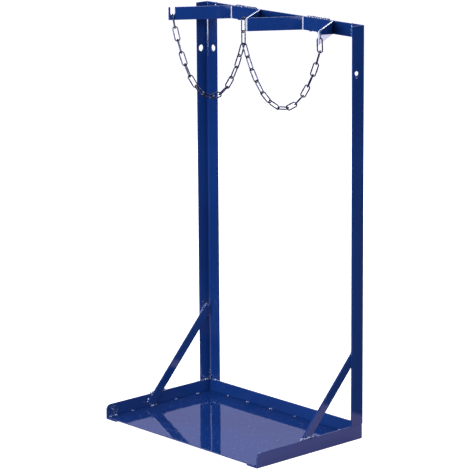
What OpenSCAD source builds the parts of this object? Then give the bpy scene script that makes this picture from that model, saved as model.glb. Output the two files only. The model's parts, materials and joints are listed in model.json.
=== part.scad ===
// Free-standing rack for two gas cylinders: an open-fronted angle-iron tray, two angle
// posts, a top rail with two V-shaped yokes, and a chain that hooks across each yoke.
// Millimetres, +Z up, +Y to the back. Origin: centre of the base, on the floor.

/* [Frame] */
// Overall width across the posts
WIDTH = 600; // [560:10:680]
// Overall depth from the tray's open front to the back of the posts
DEPTH = 380; // [340:10:420]
// Height of the posts and the top rail
HEIGHT = 1100; // [900:50:1300]

/* [Steel sections] */
// Leg of the angle used for the tray rim and the posts
ANGLE_LEG = 40; // [35:1:50]
// Thickness of that angle
ANGLE_T = 4; // [3:0.5:6]
// Thickness of the floor plate
PLATE_T = 3; // [2:0.5:5]
// Height of the flat bar used for the rail and the yokes
BAR_H = 35; // [30:1:45]
// Thickness of that flat bar
BAR_T = 5; // [4:0.5:6]
// Width of the diagonal brace
BRACE_W = 25; // [20:1:30]
// Thickness of the diagonal brace
BRACE_T = 5; // [4:0.5:6]

/* [Tray] */
// Radius of the front top corner of each side lip
LIP_CORNER = 14; // [5:1:20]
// How far the tray's back sits inside the back of the posts
RIM_INSET = 2; // [0.5:0.5:3]

/* [Cylinder yokes] */
// Distance from the middle of the stand to the middle of each yoke
YOKE_CENTRE = 138; // [130:1:145]
// Length of the yoke's flat part against the rail, bend to bend
YOKE_FLAT = 108; // [90:1:120]
// Angle between a yoke arm and the rail
ARM_ANGLE = 56; // [52:1:60]
// How far the outer tips stand in front of the flat part
OUTER_REACH = 142.5; // [120:2.5:150]
// Inside radius of the bends
BEND_R = 6; // [4:1:10]

/* [Hook slots] */
// Width of the slot that takes a chain link
SLOT_W = 12; // [10:0.5:14]
// Depth of the slot from the top edge
SLOT_D = 22; // [18:1:24]
// Width of the prong left outside the slot
PRONG_W = 5.5; // [4:0.5:8]

/* [Fixing holes] */
// Diameter of the holes near the top of the posts
HOLE_D = 18; // [12:1:20]
// Distance of the holes below the top of the posts
HOLE_DROP = 125; // [80:5:200]
// Distance of the holes from the corner of the post
HOLE_OFFSET = 26; // [22:1:28]

/* [Diagonal braces] */
// Angle of the brace above the floor
BRACE_ANGLE = 47.5; // [42:0.5:50]
// Length of the brace, before its top is trimmed to the post
BRACE_LENGTH = 321.5; // [250:0.5:330]
// Distance of the brace's lowest corner in front of the back of the posts
BRACE_FOOT = 218; // [213:1:223]

/* [Chain] */
// Wire diameter
WIRE = 3.5; // [3:0.5:4.5]
// Length inside a link
LINK_LENGTH = 35.5; // [33:0.5:36]
// Width inside a link
LINK_WIDTH = 9.5; // [9:0.5:11]
// Lean of the hooked end links from upright
HOOK_LEAN = 9; // [0:1:12]

/* [Hidden] */
$fn = 48;

LINKS = 13;

BLUE = [0.06, 0.16, 0.42];
ZINC = [0.72, 0.74, 0.77];
CUT = 1;
BEND_STEPS = 14;

side_x = -WIDTH / 2;
front_y = -DEPTH / 2;
back_y = DEPTH / 2;
rim_y = back_y - RIM_INSET;
plate_side = ANGLE_T + BRACE_T;
bar_z = HEIGHT - BAR_H;
root_r = 5;

// Yoke: the middle line of the left yoke's bar, seen from above.
flat_y = back_y - BAR_T * 1.5;
outer_bend_x = -YOKE_CENTRE - YOKE_FLAT / 2;
inner_bend_x = -YOKE_CENTRE + YOKE_FLAT / 2;
outer_arm = OUTER_REACH / sin(ARM_ANGLE);
inner_arm = -inner_bend_x / cos(ARM_ANGLE);
outer_tip = [outer_bend_x - outer_arm * cos(ARM_ANGLE), flat_y - OUTER_REACH];
inner_tip = [0, flat_y - inner_arm * sin(ARM_ANGLE)];
bend_r = BEND_R + BAR_T / 2;
bend_cut = bend_r * tan(ARM_ANGLE / 2);

// Chain: an eye is the middle of the wire at the end of a link.
link_gap = 1;
wire_r = WIRE / 2;
arc_r = (LINK_WIDTH + WIRE) / 2;
eye_reach = (LINK_LENGTH + WIRE) / 2;
hook_up = WIRE + link_gap;
pitch = 2 * eye_reach - hook_up;

arm_dir = [cos(ARM_ANGLE), sin(ARM_ANGLE), 0];
hook_dir = [arm_dir[0] * sin(HOOK_LEAN), arm_dir[1] * sin(HOOK_LEAN), -cos(HOOK_LEAN)];
slot_mid = PRONG_W + SLOT_W / 2;
slot_gap = 1;
seat = [outer_tip[0], outer_tip[1], HEIGHT - SLOT_D + wire_r + slot_gap] + slot_mid * arm_dir;
hook_centre = seat + eye_reach * hook_dir;
hook_eye = seat + 2 * eye_reach * hook_dir;

anchor_rise = 3;
anchor_back = 5;
weld_off = BAR_T / 2 + wire_r;
anchor_x = -anchor_back * cos(ARM_ANGLE) - weld_off * sin(ARM_ANGLE);
anchor_y = inner_tip[1] + anchor_back * sin(ARM_ANGLE) - weld_off * cos(ARM_ANGLE) - arc_r;
anchor_z = HEIGHT + anchor_rise - wire_r - eye_reach;
centre_z = anchor_z - pitch;
side_by_side = WIRE / 2 + 0.25;
pair_drop = 0.7;
pair_z = centre_z - eye_reach + arc_r - pair_drop;

// Hanging line of equal links. The slope of link i is k * (i - m), as in a real chain,
// and k and m are found so that the line joins its two ends. The eye of each end link
// reaches a little past the last joint, so those two links count as slightly longer.
chain_from = hook_eye - hook_up * hook_dir;
end_reach = eye_reach - pitch / 2;

function span_of(i) = pitch + ((i == 0 || i == LINKS - 1) ? end_reach : 0);
function slope(k, m, i) = k * (i - m);
function root1(t) = sqrt(1 + t * t);
function total(list) = list * [for (v = list) 1];
function run_of(k, m) = total([for (i = [0:LINKS - 1]) span_of(i) / root1(slope(k, m, i))]);
function rise_of(k, m) =
  total([for (i = [0:LINKS - 1]) span_of(i) * slope(k, m, i) / root1(slope(k, m, i))]);

// Newton's method on the two unknowns, with the derivatives taken by small steps.
function solve(k, m, run, rise, steps) =
  steps == 0 ? [k, m] :
  let (
    d = 0.0001,
    f = run_of(k, m) - run,
    g = rise_of(k, m) - rise,
    fk = (run_of(k + d, m) - f - run) / d,
    fm = (run_of(k, m + d) - f - run) / d,
    gk = (rise_of(k + d, m) - g - rise) / d,
    gm = (rise_of(k, m + d) - g - rise) / d,
    det = fk * gm - fm * gk
  )
  solve(k - (f * gm - g * fm) / det, m - (g * fk - f * gk) / det, run, rise, steps - 1);

// centre_x is where the centre link hangs, in the frame of the side being drawn.
function chain_to(centre_x) = [centre_x - side_by_side, anchor_y, pair_z];
function chain_shape(centre_x) =
  let (gap = chain_to(centre_x) - chain_from)
  solve(0.4, (LINKS - 1) / 2, norm([gap[0], gap[1]]), gap[2], 12);
function lean(shape, i) = atan(slope(shape[0], shape[1], i));
function along(shape, i) =
  total([for (j = [0:i]) (j < i ? pitch : pitch / 2) * cos(lean(shape, j))])
  + end_reach * cos(lean(shape, 0));
function up(shape, i) =
  total([for (j = [0:i]) (j < i ? pitch : pitch / 2) * sin(lean(shape, j))])
  + end_reach * sin(lean(shape, 0));

// Points on an arc, from one angle to another.
function arc(centre, r, from, to) =
  [for (i = [0:BEND_STEPS])
    let (angle = from + (to - from) * i / BEND_STEPS)
    centre + r * [cos(angle), sin(angle)]];

module angle_section() {
  difference() {
    square(ANGLE_LEG);
    translate([ANGLE_T, ANGLE_T]) square(ANGLE_LEG);
  }
  translate([ANGLE_T, ANGLE_T]) difference() {
    square(root_r);
    translate([root_r, root_r]) circle(root_r);
  }
}

// The plate lies on the rim, clear of the lips, so that the braces fit beside it.
module floor_plate() {
  color(BLUE)
    translate([side_x + plate_side, front_y, ANGLE_T])
      cube([WIDTH - 2 * plate_side, rim_y - plate_side - front_y, PLATE_T]);
}

// A rim leg seen from above, as wide as given, with its back end mitred.
module side_leg(wide, tall) {
  linear_extrude(tall)
    polygon([[side_x, front_y], [side_x + wide, front_y],
             [side_x + wide, rim_y - wide], [side_x, rim_y]]);
}

module left_rim() {
  color(BLUE) difference() {
    union() {
      side_leg(ANGLE_LEG, ANGLE_T);
      side_leg(ANGLE_T, ANGLE_LEG);
    }
    translate([side_x - CUT, front_y, ANGLE_LEG]) rotate([90, 0, 90])
      linear_extrude(ANGLE_T + 2 * CUT)
        polygon(concat([[-CUT, CUT], [-CUT, -LIP_CORNER]],
                       arc([LIP_CORNER, -LIP_CORNER], LIP_CORNER, 180, 90),
                       [[LIP_CORNER, CUT]]));
  }
}

module right_rim() {
  mirror([1, 0, 0]) left_rim();
}

module back_leg(wide, tall) {
  linear_extrude(tall)
    polygon([[side_x, rim_y], [-side_x, rim_y],
             [-side_x - wide, rim_y - wide], [side_x + wide, rim_y - wide]]);
}

module back_rim() {
  color(BLUE) union() {
    back_leg(ANGLE_LEG, ANGLE_T);
    back_leg(ANGLE_T, ANGLE_LEG);
  }
}

module left_post() {
  hole_z = HEIGHT - HOLE_DROP;
  color(BLUE) difference() {
    translate([side_x, back_y, ANGLE_LEG]) mirror([0, 1, 0])
      linear_extrude(HEIGHT - ANGLE_LEG) angle_section();
    translate([side_x - CUT, back_y - HOLE_OFFSET, hole_z]) rotate([0, 90, 0])
      cylinder(d = HOLE_D, h = ANGLE_T + 2 * CUT);
    translate([side_x + HOLE_OFFSET, back_y + CUT, hole_z]) rotate([90, 0, 0])
      cylinder(d = HOLE_D, h = ANGLE_T + 2 * CUT);
  }
}

module right_post() {
  mirror([1, 0, 0]) left_post();
}

module top_rail() {
  color(BLUE)
    translate([side_x + ANGLE_LEG, back_y - BAR_T, bar_z])
      cube([WIDTH - 2 * ANGLE_LEG, BAR_T, BAR_H]);
}

// The bent bar seen from above: its back edge from left to right, then its front edge.
module yoke_plan() {
  half = BAR_T / 2;
  outer_centre = [outer_bend_x + bend_cut, flat_y - bend_r];
  inner_centre = [inner_bend_x - bend_cut, flat_y - bend_r];
  outer_side = half * [-sin(ARM_ANGLE), cos(ARM_ANGLE)];
  inner_side = half * [sin(ARM_ANGLE), cos(ARM_ANGLE)];
  polygon(concat(
    [outer_tip + outer_side],
    arc(outer_centre, bend_r + half, 90 + ARM_ANGLE, 90),
    arc(inner_centre, bend_r + half, 90, 90 - ARM_ANGLE),
    [inner_tip + inner_side, inner_tip - inner_side],
    arc(inner_centre, bend_r - half, 90 - ARM_ANGLE, 90),
    arc(outer_centre, bend_r - half, 90, 90 + ARM_ANGLE),
    [outer_tip - outer_side]
  ));
}

module hook_slot() {
  straight = SLOT_D - SLOT_W / 2;
  translate([outer_tip[0], outer_tip[1], HEIGHT]) rotate([0, 0, ARM_ANGLE])
    translate([slot_mid, 0, -straight]) {
      translate([-SLOT_W / 2, -BAR_T, 0]) cube([SLOT_W, 2 * BAR_T, straight + CUT]);
      translate([0, BAR_T, 0]) rotate([90, 0, 0]) cylinder(d = SLOT_W, h = 2 * BAR_T);
    }
}

module left_yoke() {
  color(BLUE) difference() {
    translate([0, 0, bar_z]) linear_extrude(BAR_H) yoke_plan();
    hook_slot();
  }
}

// The right yoke's inner arm stops against the side of the left one.
module right_yoke() {
  color(BLUE) difference() {
    mirror([1, 0, 0]) left_yoke();
    translate([inner_tip[0], inner_tip[1], bar_z - CUT]) rotate([0, 0, 180 - ARM_ANGLE])
      translate([-BAR_H, -BAR_T / 2, 0]) cube([2 * BAR_H, BAR_H, BAR_H + 2 * CUT]);
  }
}

// A square-ended bar beside the lip, standing on its lowest corner.
module left_brace() {
  post_root_y = back_y - ANGLE_T - root_r;
  color(BLUE) difference() {
    translate([side_x + ANGLE_T, back_y - BRACE_FOOT, ANGLE_T]) rotate([BRACE_ANGLE, 0, 0])
      cube([BRACE_T, BRACE_LENGTH, BRACE_W]);
    translate([side_x, post_root_y, 0])
      cube([ANGLE_LEG, 2 * ANGLE_LEG, HEIGHT]);
  }
}

module right_brace() {
  mirror([1, 0, 0]) left_brace();
}

// A chain link about its centre: long along Z, wide along X.
module link() {
  straight = eye_reach - arc_r;
  color(ZINC) union() {
    for (turn = [0, 180]) rotate([0, turn, 0]) {
      translate([0, 0, straight]) rotate([90, 0, 0])
        rotate_extrude(angle = 180) translate([arc_r, 0]) circle(wire_r);
      translate([arc_r, 0, -straight]) cylinder(r = wire_r, h = 2 * straight);
    }
  }
}

// The link welded to the side of the left yoke's inner tip.
module anchor_link() {
  translate([anchor_x, anchor_y, anchor_z]) rotate([0, 0, 90]) link();
}

// The link that hangs from it and carries both chains.
module centre_link() {
  translate([anchor_x, anchor_y, centre_z]) link();
}

// The end link in a hook slot, leaning along the arm.
module left_hook_link() {
  translate(hook_centre) rotate([0, -HOOK_LEAN, ARM_ANGLE]) rotate([0, 0, 90]) link();
}

module right_hook_link() {
  mirror([1, 0, 0]) left_hook_link();
}

// Chain link i of one side, counted from the hook. Neighbours cross at right angles,
// and the whole chain twists gently to meet the slanting hook link.
module hanging_link(i, centre_x) {
  shape = chain_shape(centre_x);
  gap = chain_to(centre_x) - chain_from;
  heading = atan2(gap[1], gap[0]);
  reach = along(shape, i);
  twist = (90 - ARM_ANGLE) * (LINKS - 1 - i) / (LINKS - 1);
  translate(chain_from + [reach * cos(heading), reach * sin(heading), up(shape, i)])
    rotate([0, 90 - lean(shape, i), heading])
      rotate([0, 0, 90 * (1 + i % 2) + twist]) link();
}

module left_link(i) {
  hanging_link(i - 1, anchor_x);
}

module right_link(i) {
  mirror([1, 0, 0]) hanging_link(i - 1, -anchor_x);
}

floor_plate();
left_rim();
right_rim();
back_rim();
left_post();
right_post();
top_rail();
left_yoke();
right_yoke();
left_brace();
right_brace();
anchor_link();
centre_link();
left_hook_link();
right_hook_link();
for (i = [1:LINKS]) {
  left_link(i);
  right_link(i);
}
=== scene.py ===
import json
import math
import random

import bmesh
import bpy
import numpy as np
from mathutils import Matrix, Vector


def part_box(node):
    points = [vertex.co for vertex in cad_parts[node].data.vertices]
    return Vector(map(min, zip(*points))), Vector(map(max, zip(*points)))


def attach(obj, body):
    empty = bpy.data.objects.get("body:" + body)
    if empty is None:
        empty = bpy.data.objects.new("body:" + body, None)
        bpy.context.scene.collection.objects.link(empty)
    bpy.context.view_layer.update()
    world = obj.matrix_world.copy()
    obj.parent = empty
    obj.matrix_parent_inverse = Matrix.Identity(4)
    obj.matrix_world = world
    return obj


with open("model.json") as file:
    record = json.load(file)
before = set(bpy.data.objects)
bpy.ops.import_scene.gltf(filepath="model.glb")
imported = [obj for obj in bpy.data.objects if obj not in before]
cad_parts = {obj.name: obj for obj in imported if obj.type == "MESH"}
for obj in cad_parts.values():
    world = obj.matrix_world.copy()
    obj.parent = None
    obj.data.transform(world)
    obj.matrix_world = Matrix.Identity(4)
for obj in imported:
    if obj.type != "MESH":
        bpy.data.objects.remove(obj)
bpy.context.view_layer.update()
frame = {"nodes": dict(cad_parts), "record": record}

SCENE = bpy.context.scene
NODES = frame["nodes"]
X, Y, Z = Vector((1, 0, 0)), Vector((0, 1, 0)), Vector((0, 0, 1))


# ---------------------------------------------------------------- camera

CAMERA_PLACE = Vector((5.2132, -4.7321, 2.1799))
CAMERA_TURN = math.radians(47.692)      # from +Y towards -X
CAMERA_DIP = math.radians(13.183)       # below level
CAMERA_ROLL = math.radians(-0.398)
CAMERA_LENS = 210.69                    # millimetres, for the sensor below
CAMERA_SENSOR = 36


def add_camera():
    """Long lens, front right, a little above the top of the stand."""
    ahead = Vector((-math.sin(CAMERA_TURN) * math.cos(CAMERA_DIP),
                    math.cos(CAMERA_TURN) * math.cos(CAMERA_DIP),
                    -math.sin(CAMERA_DIP)))
    right = Vector((math.cos(CAMERA_TURN), math.sin(CAMERA_TURN), 0))
    above = right.cross(ahead)
    side = right * math.cos(CAMERA_ROLL) + above * math.sin(CAMERA_ROLL)
    top = above * math.cos(CAMERA_ROLL) - right * math.sin(CAMERA_ROLL)
    data = bpy.data.cameras.new("camera")
    data.sensor_width = CAMERA_SENSOR
    data.lens = CAMERA_LENS
    data.clip_start = 0.5
    data.clip_end = 200
    cam = bpy.data.objects.new("camera", data)
    cam.matrix_world = Matrix((
        (side.x, top.x, -ahead.x, CAMERA_PLACE.x),
        (side.y, top.y, -ahead.y, CAMERA_PLACE.y),
        (side.z, top.z, -ahead.z, CAMERA_PLACE.z),
        (0, 0, 0, 1)))
    SCENE.collection.objects.link(cam)
    SCENE.camera = cam


# ---------------------------------------------------------------- node trees

class Nodes:
    """Short names for building the node tree of a material or a world."""

    def __init__(self, owner):
        owner.use_nodes = True
        self.tree = owner.node_tree
        self.coords = self.add("ShaderNodeTexCoord").outputs
        self.place = self.coords["Object"]

    def add(self, kind, **values):
        node = self.tree.nodes.new(kind)
        for key, value in values.items():
            setattr(node, key, value)
        return node

    def put(self, value, socket):
        """Fits a socket with a number, a colour or another node's output."""
        if isinstance(value, (int, float)):
            socket.default_value = value
        elif isinstance(value, tuple):
            socket.default_value = (*value, 1)
        else:
            self.tree.links.new(value, socket)

    def noise(self, scale, detail, rough=0.55):
        node = self.add("ShaderNodeTexNoise")
        self.put(self.place, node.inputs["Vector"])
        self.put(scale, node.inputs["Scale"])
        self.put(detail, node.inputs["Detail"])
        self.put(rough, node.inputs["Roughness"])
        return node.outputs["Fac"]

    def span(self, out, low, high, to_low=0.0, to_high=1.0):
        """A smooth step, from to_low where out is low to to_high where it is high."""
        node = self.add("ShaderNodeMapRange", interpolation_type="SMOOTHSTEP")
        self.put(out, node.inputs["Value"])
        self.put(low, node.inputs["From Min"])
        self.put(high, node.inputs["From Max"])
        self.put(to_low, node.inputs["To Min"])
        self.put(to_high, node.inputs["To Max"])
        return node.outputs["Result"]

    def maths(self, operation, a, b):
        node = self.add("ShaderNodeMath", operation=operation)
        self.put(a, node.inputs[0])
        self.put(b, node.inputs[1])
        return node.outputs[0]

    def mix(self, fac, a, b):
        node = self.add("ShaderNodeMix", data_type="RGBA")
        self.put(fac, node.inputs["Factor"])
        self.put(a, node.inputs["A"])
        self.put(b, node.inputs["B"])
        return node.outputs["Result"]


class Material(Nodes):
    """A material's node tree, built around its one Principled shader."""

    def __init__(self, name):
        self.mat = bpy.data.materials.new(name)
        super().__init__(self.mat)
        self.shader = self.tree.nodes["Principled BSDF"]

    def bump(self, height, distance, strength, after=None):
        node = self.add("ShaderNodeBump")
        self.put(height, node.inputs["Height"])
        self.put(distance, node.inputs["Distance"])
        self.put(strength, node.inputs["Strength"])
        if after:
            self.put(after, node.inputs["Normal"])
        return node.outputs["Normal"]

    def edges(self, radius):
        """Near 1 on a sharp outer or inner edge and 0 on a flat face: it comes from the cosine
        between the face's own normal and the one that a bevel of this radius would have."""
        soft = self.add("ShaderNodeBevel", samples=6)
        self.put(radius, soft.inputs["Radius"])
        plain = self.add("ShaderNodeNewGeometry")
        dot = self.add("ShaderNodeVectorMath", operation="DOT_PRODUCT")
        self.put(soft.outputs["Normal"], dot.inputs[0])
        self.put(plain.outputs["Normal"], dot.inputs[1])
        return self.span(dot.outputs["Value"], 0.998, 0.9)

    def fit(self, values):
        """Fits the shader's own sockets and gives back the material."""
        for name, value in values.items():
            self.put(value, self.shader.inputs[name])
        return self.mat


# ---------------------------------------------------------------- studio

WORLD_DIM = (0.17, 0.18, 0.24)
WORLD_BRIGHT = (0.46, 0.47, 0.78)
BRIGHT_WAY = (-0.71, 0.66, 0.25)        # the brighter side: back left, a little up

FLOOR_HALF = 60
FLOOR_Z = -0.0005                       # just under the stand
FLOOR_SEEN = (0.86, 0.86, 0.87)         # with the next one, what the camera sees
FLOOR_GLOW = (1.0, 1.0, 1.0)
FLOOR_LIT = (0.09, 0.08, 0.11)          # what lights the stand from below
FLOOR_DARK = (0.05, 0.085, 0.17)        # the rest are what the enamel mirrors
PATCH = (0.50, 0.43, 0.70)
PATCH_FADE = (0.76, 0.72)               # distance from the middle
PATCH_BACK = (0.345, 0.325)             # y
FAR = (0.8, 0.8, 0.8)
FAR_GLOW = (1.9, 1.8, 2.2)
FAR_FRONT = (2.6, 3.6)                  # y
FAR_SIDE = (1.2, 0.2)                   # x

STRIP_AZIMUTHS = {"strip_left": -92, "strip_middle": -73, "strip_right": -54}


def add_light(name, azimuth, distance, low_z, high_z, width, radiance, aim_z=0.6,
              tint=(1, 1, 1)):
    """A soft panel facing the stand; its power comes from the radiance wanted."""
    turn = math.radians(azimuth)
    foot = Vector((distance * math.cos(turn), distance * math.sin(turn), 0))
    place = foot + Vector((0, 0, (low_z + high_z) / 2))
    data = bpy.data.lights.new(name, "AREA")
    data.shape = "RECTANGLE"
    data.size = width
    data.size_y = high_z - low_z
    data.color = tint
    data.energy = radiance * math.pi * data.size * data.size_y
    obj = bpy.data.objects.new(name, data)
    obj.location = place
    obj.rotation_euler = (Vector((0, 0, aim_z)) - place).to_track_quat("-Z", "Y").to_euler()
    obj.visible_camera = False
    SCENE.collection.objects.link(obj)


def add_lights():
    """Panels in front, at the right and behind; the strips draw the stripes on the bends."""
    add_light("key", azimuth=-84, distance=3.2, low_z=1.00, high_z=2.9, width=1.5,
              radiance=10.5)
    add_light("key_side", azimuth=-60, distance=3.2, low_z=0.90, high_z=2.9, width=1.1,
              radiance=6.5)
    add_light("fill", azimuth=24, distance=4.2, low_z=1.6, high_z=3.7, width=1.6,
              radiance=8.5, tint=(1.25, 1.0, 0.98))
    for name, azimuth in STRIP_AZIMUTHS.items():
        add_light(name, azimuth, distance=3.1, low_z=0.46, high_z=0.76, width=1.05,
                  radiance=10.0, aim_z=0.62)
    add_light("hair", azimuth=140, distance=4.0, low_z=2.0, high_z=3.4, width=4.5,
              radiance=4.0)
    add_light("edge_right", azimuth=112, distance=4.0, low_z=1.75, high_z=2.4, width=0.9,
              radiance=14.0, aim_z=1.0)


def add_world():
    """White to look at, and dim where the enamel mirrors it."""
    world = bpy.data.worlds.new("studio")
    look = Nodes(world)
    dot = look.add("ShaderNodeVectorMath", operation="DOT_PRODUCT")
    dot.inputs[1].default_value = BRIGHT_WAY
    look.put(look.coords["Generated"], dot.inputs[0])
    dim = look.mix(look.span(dot.outputs["Value"], 0.3, 0.9), WORLD_DIM, WORLD_BRIGHT)
    seen = look.add("ShaderNodeLightPath").outputs["Is Camera Ray"]
    background = look.tree.nodes["Background"]
    look.put(look.mix(seen, dim, (1.0, 1.0, 1.0)), background.inputs["Color"])
    SCENE.world = world
    SCENE.view_settings.view_transform = "Standard"


def add_floor():
    """Plain and pale to look at. In the enamel's mirror it is dark, with a pale patch around
    the stand and a bright stretch far behind it, which light nothing else."""
    mesh = bpy.data.meshes.new("studio_floor")
    bm = bmesh.new()
    bmesh.ops.create_grid(bm, x_segments=2, y_segments=2, size=FLOOR_HALF)
    bm.to_mesh(mesh)
    bm.free()
    floor = bpy.data.objects.new("studio_floor", mesh)
    floor.location.z = FLOOR_Z
    SCENE.collection.objects.link(floor)
    look = Material("studio_floor")
    away = look.add("ShaderNodeVectorMath", operation="LENGTH")
    look.put(look.place, away.inputs[0])
    split = look.add("ShaderNodeSeparateXYZ")
    look.put(look.place, split.inputs[0])
    near = look.maths("MULTIPLY", look.span(away.outputs["Value"], *PATCH_FADE),
                      look.span(split.outputs["Y"], *PATCH_BACK))
    far = look.maths("MULTIPLY", look.span(split.outputs["Y"], *FAR_FRONT),
                     look.span(split.outputs["X"], *FAR_SIDE))
    path = look.add("ShaderNodeLightPath").outputs
    seen, sharp = path["Is Camera Ray"], path["Is Glossy Ray"]
    mirrored = look.mix(far, look.mix(near, FLOOR_DARK, PATCH), FAR)
    hidden = look.mix(sharp, FLOOR_LIT, mirrored)
    glow = look.mix(look.maths("MULTIPLY", far, sharp), (0.0, 0.0, 0.0), FAR_GLOW)
    mesh.materials.append(look.fit({
        "Base Color": look.mix(seen, hidden, FLOOR_SEEN),
        "Emission Color": look.mix(seen, glow, FLOOR_GLOW),
        "Emission Strength": 0.8,
        "Roughness": 0.9,
        "Specular IOR Level": 0.0}))


# ---------------------------------------------------------------- materials

BLUE = (0.0058, 0.032, 0.165)
DEEP = (0.0047, 0.025, 0.136)
THIN = (0.012, 0.062, 0.240)            # where the paint is thin over an edge
PAINTED_GLINT = (0.60, 0.66, 0.80)              # painted highlight: small bright points painted on a weld's beads
PRIMER = (0.20, 0.21, 0.22)
DUST = (0.20, 0.25, 0.38)
ZINC_DARK = (0.03, 0.035, 0.07)
ZINC_PALE = (0.11, 0.12, 0.19)
ZINC_STAIN = (0.04, 0.045, 0.08)


def paint(name, gloss=0.07, wave=0.0, weld=False, dusty=0.08):
    """Blue gloss enamel: orange peel, slow colour drift, dust, thin paint and chips at edges.
    gloss is its roughness, wave the height of slow waves and dusty the dust's strength. weld adds
    fine bumps and painted highlights: small pale spots on the beads."""
    look = Material(name)
    edge = look.edges(0.0014)
    drift = look.span(look.noise(scale=5, detail=4), 0.3, 0.7)
    patches = look.span(look.noise(scale=60, detail=5, rough=0.7), 0.42, 0.62)
    chips = look.span(look.noise(scale=150, detail=6, rough=0.75), 0.68, 0.70)
    chip = look.maths("MULTIPLY", edge, chips)
    dust = look.span(look.noise(scale=240, detail=2, rough=0.5), 0.68, 0.73, 0.0, dusty)
    colour = look.mix(drift, DEEP, BLUE)
    colour = look.mix(look.maths("MULTIPLY", edge, patches), colour, THIN)
    colour = look.mix(chip, colour, PRIMER)
    colour = look.mix(dust, colour, DUST)

    sheen = look.span(look.noise(scale=14, detail=4), 0.3, 0.7, gloss * 0.7, gloss * 1.3)
    scuff = look.span(look.noise(scale=28, detail=8, rough=0.8), 0.62, 0.80, 0.0, 0.16)
    rough = look.maths("MAXIMUM", look.maths("ADD", sheen, scuff),
                       look.maths("MULTIPLY", chip, 0.6))

    normal = look.bump(look.noise(scale=330, detail=2), distance=0.00004, strength=0.5)
    if wave:
        normal = look.bump(look.noise(scale=26, detail=1), wave, 1.0, normal)
    if weld:
        normal = look.bump(look.noise(scale=900, detail=4, rough=0.7), 0.0002, 0.7, normal)
        # painted highlight: pale spots in the base colour stand in for glints of light on the
        # weld beads
        painted_glint = look.span(look.noise(scale=300, detail=3, rough=0.6), 0.56, 0.59)
        colour = look.mix(painted_glint, colour, PAINTED_GLINT)
    normal = look.bump(dust, 0.00008, 0.8, normal)
    normal = look.bump(chip, 0.0001, -0.8, normal)
    return look.fit({"Base Color": colour, "Roughness": rough, "Normal": normal,
                     "Specular IOR Level": 0.85})


def zinc(name, duller=0.0):
    """Zinc on steel wire: slightly mottled, with darker stains. duller adds to its roughness."""
    look = Material(name)
    mottle = look.span(look.noise(scale=120, detail=5, rough=0.65), 0.35, 0.65)
    stain = look.span(look.noise(scale=35, detail=6, rough=0.7), 0.56, 0.72, 0.0, 0.6)
    colour = look.mix(stain, look.mix(mottle, ZINC_DARK, ZINC_PALE), ZINC_STAIN)
    rough = look.span(look.noise(scale=220, detail=5, rough=0.7), 0.3, 0.7, 0.17, 0.34)
    if duller:
        rough = look.maths("ADD", rough, duller)
    normal = look.bump(look.noise(scale=700, detail=4, rough=0.6), distance=0.00008, strength=0.7)
    return look.fit({"Base Color": colour, "Roughness": rough, "Normal": normal,
                     "Metallic": 1.0})


# ---------------------------------------------------------------- pieces

WIRE_R = 0.00175
LINK_LEG = 0.0065                       # from a link's middle to the middle of a leg's wire
SEAM_HALF = 0.0034                      # half of a butt weld's length along the wire
SEAM_SWELL = 0.00044
SEAM_RINGS = 13
RING_STEP = 0.0005                      # between the rings of a weld bead
CAP_START = 0.0003                      # makes a bead's ends round, not pointed
SPATTER_SIZE = (0.0004, 0.0009)
SPATTER_REACH = (1.3, 5.0)              # in radii of the bead


def new_piece(name, bm, body, mat):
    mesh = bpy.data.meshes.new(name)
    bmesh.ops.recalc_face_normals(bm, faces=bm.faces)
    bm.to_mesh(mesh)
    bm.free()
    mesh.polygons.foreach_set("use_smooth", [True] * len(mesh.polygons))
    mesh.materials.append(mat)
    obj = bpy.data.objects.new(name, mesh)
    SCENE.collection.objects.link(obj)
    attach(obj, body)


def coat(node, mat):
    """Gives a CAD node its material."""
    materials = NODES[node].data.materials
    materials.clear()
    materials.append(mat)


def round_edges(node, width):
    """Rounds a CAD node's edges: its triangles are merged into flat faces, then bevelled."""
    obj = NODES[node]
    weld = obj.modifiers.new("weld", "WELD")
    weld.merge_threshold = 0.00001
    flat = obj.modifiers.new("flat", "DECIMATE")
    flat.decimate_type = "DISSOLVE"
    flat.angle_limit = math.radians(0.5)
    edge = obj.modifiers.new("edge", "BEVEL")
    edge.width = width
    edge.segments = 3
    edge.limit_method = "ANGLE"
    edge.angle_limit = math.radians(35)
    edge.harden_normals = False
    even = obj.modifiers.new("even", "WEIGHTED_NORMAL")
    even.keep_sharp = False
    even.weight = 60


def tube(bm, points, radii, sides):
    """A closed tube through the points, with a radius at each."""
    rings = []
    across = None
    for i, point in enumerate(points):
        way = (points[min(i + 1, len(points) - 1)] - points[max(i - 1, 0)]).normalized()
        if across is None:
            across = way.orthogonal().normalized()
        else:
            across = (across - way * across.dot(way)).normalized()
        over = way.cross(across)
        turns = [2 * math.pi * k / sides for k in range(sides)]
        rings.append([bm.verts.new(point + radii[i] * (across * math.cos(turn)
                                                       + over * math.sin(turn)))
                      for turn in turns])
    for a, b in zip(rings, rings[1:]):
        for k in range(sides):
            bm.faces.new((a[k], a[(k + 1) % sides], b[(k + 1) % sides], b[k]))
    bm.faces.new(rings[0][::-1])
    bm.faces.new(rings[-1])


def link_axes(node):
    """A chain link's middle, long direction and wide direction, from its own points."""
    mesh = NODES[node].data
    points = np.empty(len(mesh.vertices) * 3)
    mesh.vertices.foreach_get("co", points)
    points = points.reshape(-1, 3)
    middle = points.mean(0)
    spread = np.linalg.eigh(np.cov((points - middle).T))[1]
    return Vector(middle), Vector(spread[:, 2]), Vector(spread[:, 1])


def link_seam(bm, node, side, rng):
    """The swelling where a link's wire is butt welded, half way along one leg."""
    middle, long_way, wide_way = link_axes(node)
    at = middle + wide_way * LINK_LEG * side
    points, radii = [], []
    for i in range(SEAM_RINGS):
        t = 2 * i / (SEAM_RINGS - 1) - 1
        points.append(at + long_way * t * SEAM_HALF)
        radii.append(WIRE_R * 0.98 + SEAM_SWELL * (1 - t * t) ** 1.5 * rng.uniform(0.85, 1.15))
    tube(bm, points, radii, 16)


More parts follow.
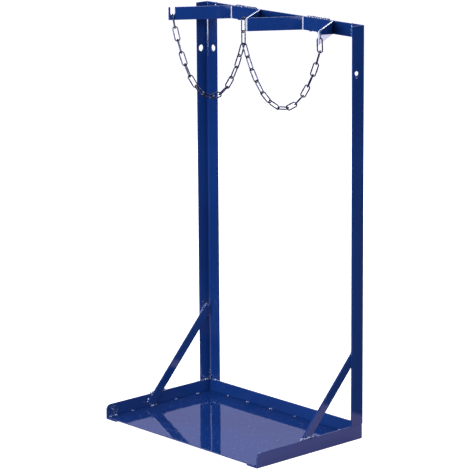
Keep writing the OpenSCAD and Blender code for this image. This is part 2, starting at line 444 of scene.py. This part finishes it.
class Welds:
    """One mesh of weld beads and spatter."""

    def __init__(self, rng):
        self.bm = bmesh.new()
        self.rng = rng

    def blob(self, place, size):
        bmesh.ops.create_icosphere(self.bm, subdivisions=1, radius=size,
                                   matrix=Matrix.Translation(place))

    def bead(self, start, end, radius, faces=(), spatter=0, pitch=0.0036, depth=0.26):
        """Overlapping puddles from start to end. They are a pitch apart, and the valleys
        between them take the part depth of the radius. Spatter lies along faces' directions."""
        rng = self.rng
        start, end = Vector(start), Vector(end)
        length = (end - start).length
        steps = max(10, int(length / RING_STEP))
        pitch *= rng.uniform(0.9, 1.1)
        points, radii = [], []
        swell = [rng.uniform(0.9, 1.1) for _ in range(int(length / pitch) + 2)]
        for i in range(steps + 1):
            along = length * i / steps
            near_end = min(along, length - along)
            cap = math.sqrt(min(1.0, (near_end + CAP_START) / radius))
            hump = abs(math.sin(math.pi * along / pitch)) ** 0.7
            puddle = (1 - depth + depth * hump) * swell[int(along / pitch)]
            sway = Vector([rng.uniform(-1, 1) for _ in range(3)]) * radius * 0.03
            points.append(start.lerp(end, i / steps) + sway)
            radii.append(radius * cap * puddle)
        tube(self.bm, points, radii, 14)
        for _ in range(spatter):
            at = start.lerp(end, rng.uniform(-0.1, 1.1))
            away = Vector(rng.choice(faces)) * rng.uniform(*SPATTER_REACH) * radius
            self.blob(at + away, rng.uniform(*SPATTER_SIZE))

    def stitches(self, start, end, count, fill, radius, faces, spatter):
        """Short beads in a row, which cover the part fill of the way."""
        start, end = Vector(start), Vector(end)
        for i in range(count):
            a = (i + 0.5 - fill / 2 + self.rng.uniform(-0.06, 0.06)) / count
            b = a + fill / count
            self.bead(start.lerp(end, max(a, 0)), start.lerp(end, min(b, 1)), radius, faces,
                      spatter)


# ---------------------------------------------------------------- the stand

add_camera()
add_world()
add_lights()
add_floor()

BARS = ("left_rim", "right_rim", "back_rim", "left_post", "right_post", "top_rail",
        "left_yoke", "right_yoke", "left_brace", "right_brace")
bar_paint = paint("blue_enamel", wave=0.00004)
floor_paint = paint("blue_enamel_floor", gloss=0.035, wave=0.00016, dusty=0.6)
weld_paint = paint("blue_enamel_weld", weld=True)
wire_zinc = zinc("zinc_wire")
seam_zinc = zinc("zinc_seam", duller=0.12)

for part in BARS:
    coat(part, bar_paint)
    round_edges(part, 0.0009)
coat("floor_plate", floor_paint)
round_edges("floor_plate", 0.0006)

for body, members in frame["record"]["behaviour"]["bodies"].items():
    links = [name for name in members if "link" in name]
    if not links:
        continue
    rng = random.Random("seams" + body)
    bm = bmesh.new()
    for i, name in enumerate(links):
        coat(name, wire_zinc)
        link_seam(bm, name, 1 if i % 2 else -1, rng)
    new_piece(body + "_seams", bm, body, seam_zinc)


# ---------------------------------------------------------------- welds

post_low, post_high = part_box("right_post")
rim_low, rim_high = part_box("right_rim")
back_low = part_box("back_rim")[0]
rail_low, rail_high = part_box("top_rail")
plate_low, plate_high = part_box("floor_plate")
brace_low, brace_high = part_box("right_brace")
lip_z = rim_high.z
wall = post_high.x - brace_high.x       # the angle's thickness: a brace lies inside the post

YOKE_SEAM = (0.096, 0.180)              # the part of a yoke's flat that is welded, in x
YOKE_SLOPE = math.radians(56)           # its arms, from the rail's line
YOKE_HALF = 0.0025                      # half of its bar's thickness
YOKE_MEET_Y = 0.05796                   # where the inner arms' middle lines meet, at x = 0
BRACE_SLOPE = math.radians(47.5)
BRACE_BROAD = 0.025
BESIDE = 0.0022                         # from the plate's edge to a bead's middle line
SUNK = 0.0006                           # from the plate's top down to that line


def both(name, draw):
    """Makes one mesh of welds for each side: draw works in the right side's frame."""
    for side in ("right", "left"):
        weld = Welds(random.Random(name + side))
        draw(weld)
        if side == "left":
            for v in weld.bm.verts:
                v.co.x = -v.co.x
            bmesh.ops.reverse_faces(weld.bm, faces=weld.bm.faces)
        new_piece(f"{side}_{name}", weld.bm, "frame", weld_paint)


def foot_weld(weld):
    """Around a post's foot, where it stands on the lips' top edges."""
    out_x, back_y, z = post_high.x, post_high.y, lip_z
    front_y, side_x, rear_y = post_low.y, out_x - wall, back_y - wall
    # inside, along the side flange
    weld.bead((side_x, front_y + 0.003, z + 0.0006), (side_x, back_y - 0.012, z + 0.0006),
              radius=0.0028, faces=(Z,), spatter=8)
    # in the corner, and up the root
    weld.bead((side_x - 0.006, rear_y - 0.0006, z), (side_x - 0.0005, rear_y - 0.0045, z),
              radius=0.0050, faces=(Z,), spatter=8, pitch=0.005, depth=0.5)
    weld.bead((side_x - 0.0030, rear_y - 0.0030, z + 0.001),
              (side_x - 0.0026, rear_y - 0.0026, z + 0.013),
              radius=0.0044, faces=(Z,), spatter=6, pitch=0.006, depth=0.6)
    # inside, along the back flange
    weld.bead((side_x - 0.009, rear_y, z), (post_low.x + 0.001, rear_y, z),
              radius=0.0026, faces=(Z,), spatter=8)
    # across the side flange's front edge
    weld.bead((out_x - 0.0008, front_y - 0.0006, z + 0.0006),
              (side_x + 0.0008, front_y - 0.0006, z + 0.0006),
              radius=0.0036, faces=(-Y,), spatter=4, pitch=0.003, depth=0.5)
    # behind, under the back flange, and across its inner edge
    weld.bead((out_x - 0.004, rim_high.y, z - 0.0005),
              (post_low.x + 0.002, rim_high.y, z - 0.0005),
              radius=0.0022, faces=(-Z,), spatter=6)
    weld.bead((post_low.x + 0.0002, rim_high.y - 0.0005, z + 0.0003),
              (post_low.x + 0.0002, rim_high.y - 0.0035, z + 0.0003),
              radius=0.0030, faces=(-X,), spatter=4)


def rail_weld(weld):
    """At an end of the top rail: its front edge, its back edge and across its top."""
    x = rail_high.x
    front_y, back_y = rail_low.y + 0.0006, rail_high.y - 0.0010
    low_z, high_z, top_z = rail_low.z + 0.001, rail_high.z - 0.001, rail_high.z - 0.0004
    weld.bead((x, front_y, low_z), (x, front_y, high_z),
              radius=0.0030, faces=(-X,), spatter=8, pitch=0.005, depth=0.5)
    weld.bead((x, back_y, low_z), (x, back_y, high_z),
              radius=0.0024, faces=(X,), spatter=5)
    weld.bead((x, rail_low.y + 0.001, top_z), (x, rail_high.y - 0.001, top_z),
              radius=0.0032, faces=(-X,), spatter=3, pitch=0.0033, depth=0.5)


def yoke_weld(weld):
    """A yoke's flat on the rail: a full bead on top and three stitches below."""
    start, end = YOKE_SEAM
    y, top_z = rail_low.y, rail_high.z + 0.0002
    weld.bead((start, y, top_z), (end, y, top_z),
              radius=0.0042, faces=(Y * 0.22, Y * -0.22), spatter=20, pitch=0.0066, depth=0.8)
    weld.stitches((start, y, rail_low.z), (end, y, rail_low.z), count=3, fill=0.4,
                  radius=0.0026, faces=(Y * 0.35, Y * -0.35), spatter=3)


def brace_weld(weld):
    """Fillets where each brace meets its post, the lip's top edge and the rim."""
    way = Vector((0, math.cos(BRACE_SLOPE), math.sin(BRACE_SLOPE)))
    over = Vector((0, -math.sin(BRACE_SLOPE), math.cos(BRACE_SLOPE)))
    # the brace's corners: heel and toe at its foot, top and trim at its cut upper end
    heel = Vector((0, brace_low.y + BRACE_BROAD * math.sin(BRACE_SLOPE), brace_low.z))
    toe = heel + over * BRACE_BROAD
    top = toe + way * ((brace_high.z - toe.z) / math.sin(BRACE_SLOPE))
    trim = top - over * ((brace_high.y - top.y) / math.sin(BRACE_SLOPE))
    x = Vector((brace_high.x - 0.0008, 0, 0))
    lift = over * 0.0008
    # on the post: along its upper edge, across its upper end and along its lower edge
    enter = (post_low.y - top.y) / math.cos(BRACE_SLOPE)
    weld.bead(x + top + lift, x + top + lift + way * enter,
              radius=0.0034, faces=(over,), spatter=8, pitch=0.005, depth=0.4)
    weld.bead(x + top + way * 0.0006 - X * 0.001, x + trim + way * 0.0002 - X * 0.001,
              radius=0.0042, faces=(over,), spatter=6, pitch=0.005, depth=0.5)
    under = top - over * BRACE_BROAD + way * enter - lift
    weld.bead(x + under + way * 0.020, x + under + way * 0.004,
              radius=0.0028, faces=(-over,), spatter=4)
    # on the lip's top edge, across and past the brace
    lip_top = toe + way * ((lip_z - toe.z) / math.sin(BRACE_SLOPE))
    lip_x, bead_z = brace_high.x + 0.0014, lip_z + 0.0008
    across = BRACE_BROAD / math.sin(BRACE_SLOPE)
    weld.bead((lip_x, lip_top.y - 0.006, bead_z), (lip_x, lip_top.y + across + 0.016, bead_z),
              radius=0.0046, faces=(X * 0.2 + Y * 0.5, X * 0.2 - Y * 0.5, X * 0.2), spatter=24,
              pitch=0.0062, depth=0.85)
    # at its foot: on its upper edge twice, across its square end and beside the plate
    weld.bead(x + toe + lift, x + toe + way * 0.010 + lift,
              radius=0.0036, faces=(-Y,), spatter=5, pitch=0.005, depth=0.6)
    weld.bead(x + lip_top - way * 0.008 + lift, x + lip_top + lift,
              radius=0.0036, faces=(-Y,), spatter=5, pitch=0.004, depth=0.6)
    weld.bead(x + toe - way * 0.0006, x + heel - way * 0.0006,
              radius=0.0018, faces=(-Y,), spatter=2, pitch=0.004, depth=0.5)
    plate_x, plate_z = brace_low.x + 0.0004, plate_high.z - SUNK
    weld.bead((plate_x, heel.y - 0.012, plate_z), (plate_x, heel.y + 0.003, plate_z),
              radius=0.0028, faces=(-X,), spatter=8)


def tray_weld(weld):
    """Between the plate and the lip, up the rim's mitred corner, and under the plate along
    the rim's inner edge."""
    x, z = plate_high.x + BESIDE, plate_high.z - SUNK
    weld.stitches((x, plate_low.y + 0.050, z), (x, plate_high.y - 0.004, z), count=4,
                  fill=0.13, radius=0.0033, faces=(-X,), spatter=5)
    weld.bead((x, plate_low.y + 0.003, z - 0.0004), (x, plate_low.y + 0.034, z),
              radius=0.0036, faces=(-X,), spatter=14, pitch=0.005, depth=0.5)
    # spatter on the lip, above that bead
    for _ in range(34):
        weld.blob((rim_high.x - wall, plate_low.y + weld.rng.uniform(0.004, 0.040),
                   weld.rng.uniform(0.010, 0.033)), weld.rng.uniform(0.0006, 0.0013))
    corner = Vector((rim_high.x - 0.0010, rim_high.y - 0.0010, 0))
    weld.bead(corner + Z * 0.002, corner + Z * (lip_z - 0.001), radius=0.0015)
    x = rim_low.x
    weld.bead((x, plate_low.y + 0.010, plate_low.z), (x, plate_low.y + 0.030, plate_low.z),
              radius=0.0026, faces=(-X,), spatter=3)
    weld.stitches((x, plate_low.y + 0.060, plate_low.z), (x, rim_high.y - 0.060, plate_low.z),
                  count=3, fill=0.16, radius=0.0026, faces=(-X,), spatter=3)


def middle_welds():
    """The welds that aren't in pairs. The first mesh holds the yokes' two inner arms together
    and the fixed chain link to the left one; the second is along the plate's back edge."""
    rng = random.Random("middle")
    weld = Welds(rng)
    way = Vector((math.cos(YOKE_SLOPE), -math.sin(YOKE_SLOPE), 0))
    side = Vector((math.sin(YOKE_SLOPE), math.cos(YOKE_SLOPE), 0))
    yoke_low, yoke_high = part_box("left_yoke")
    low, high = Z * (yoke_low.z + 0.002), Z * (yoke_high.z - 0.002)
    tip = Vector((0, YOKE_MEET_Y, 0))
    seam = tip + side * YOKE_HALF - way * 0.0035
    weld.bead(seam + low, seam + high, radius=0.0026, faces=(side,), spatter=3)
    inner = tip + side * YOKE_HALF - way * 0.012
    weld.bead(inner + low, inner + high, radius=0.0026, faces=(side, -way), spatter=3)
    anchor_low, anchor_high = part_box("anchor_link")
    low, high = Z * (anchor_low.z + 0.012), Z * (anchor_high.z - 0.010)
    leg = Vector(((anchor_low.x + anchor_high.x) / 2, anchor_high.y - WIRE_R, 0))
    for shift in (0.0018, -0.0018):
        at = leg + side * 0.002 + way * shift
        weld.bead(at + low, at + high, radius=0.0015, faces=(-way,), spatter=2)
    new_piece("middle_weld", weld.bm, "frame", weld_paint)

    weld = Welds(rng)
    weld.stitches((-0.22, back_low.y, plate_low.z), (0.22, back_low.y, plate_low.z), count=4,
                  fill=0.2, radius=0.0026, faces=(-Y,), spatter=3)
    y, z = plate_high.y + BESIDE, plate_high.z - SUNK
    weld.stitches((-0.27, y, z), (0.27, y, z), count=6, fill=0.13, radius=0.0033,
                  faces=(-Y,), spatter=5)
    new_piece("back_tray_weld", weld.bm, "frame", weld_paint)


both("foot_weld", foot_weld)
both("rail_weld", rail_weld)
both("yoke_weld", yoke_weld)
both("brace_weld", brace_weld)
both("tray_weld", tray_weld)
middle_welds()
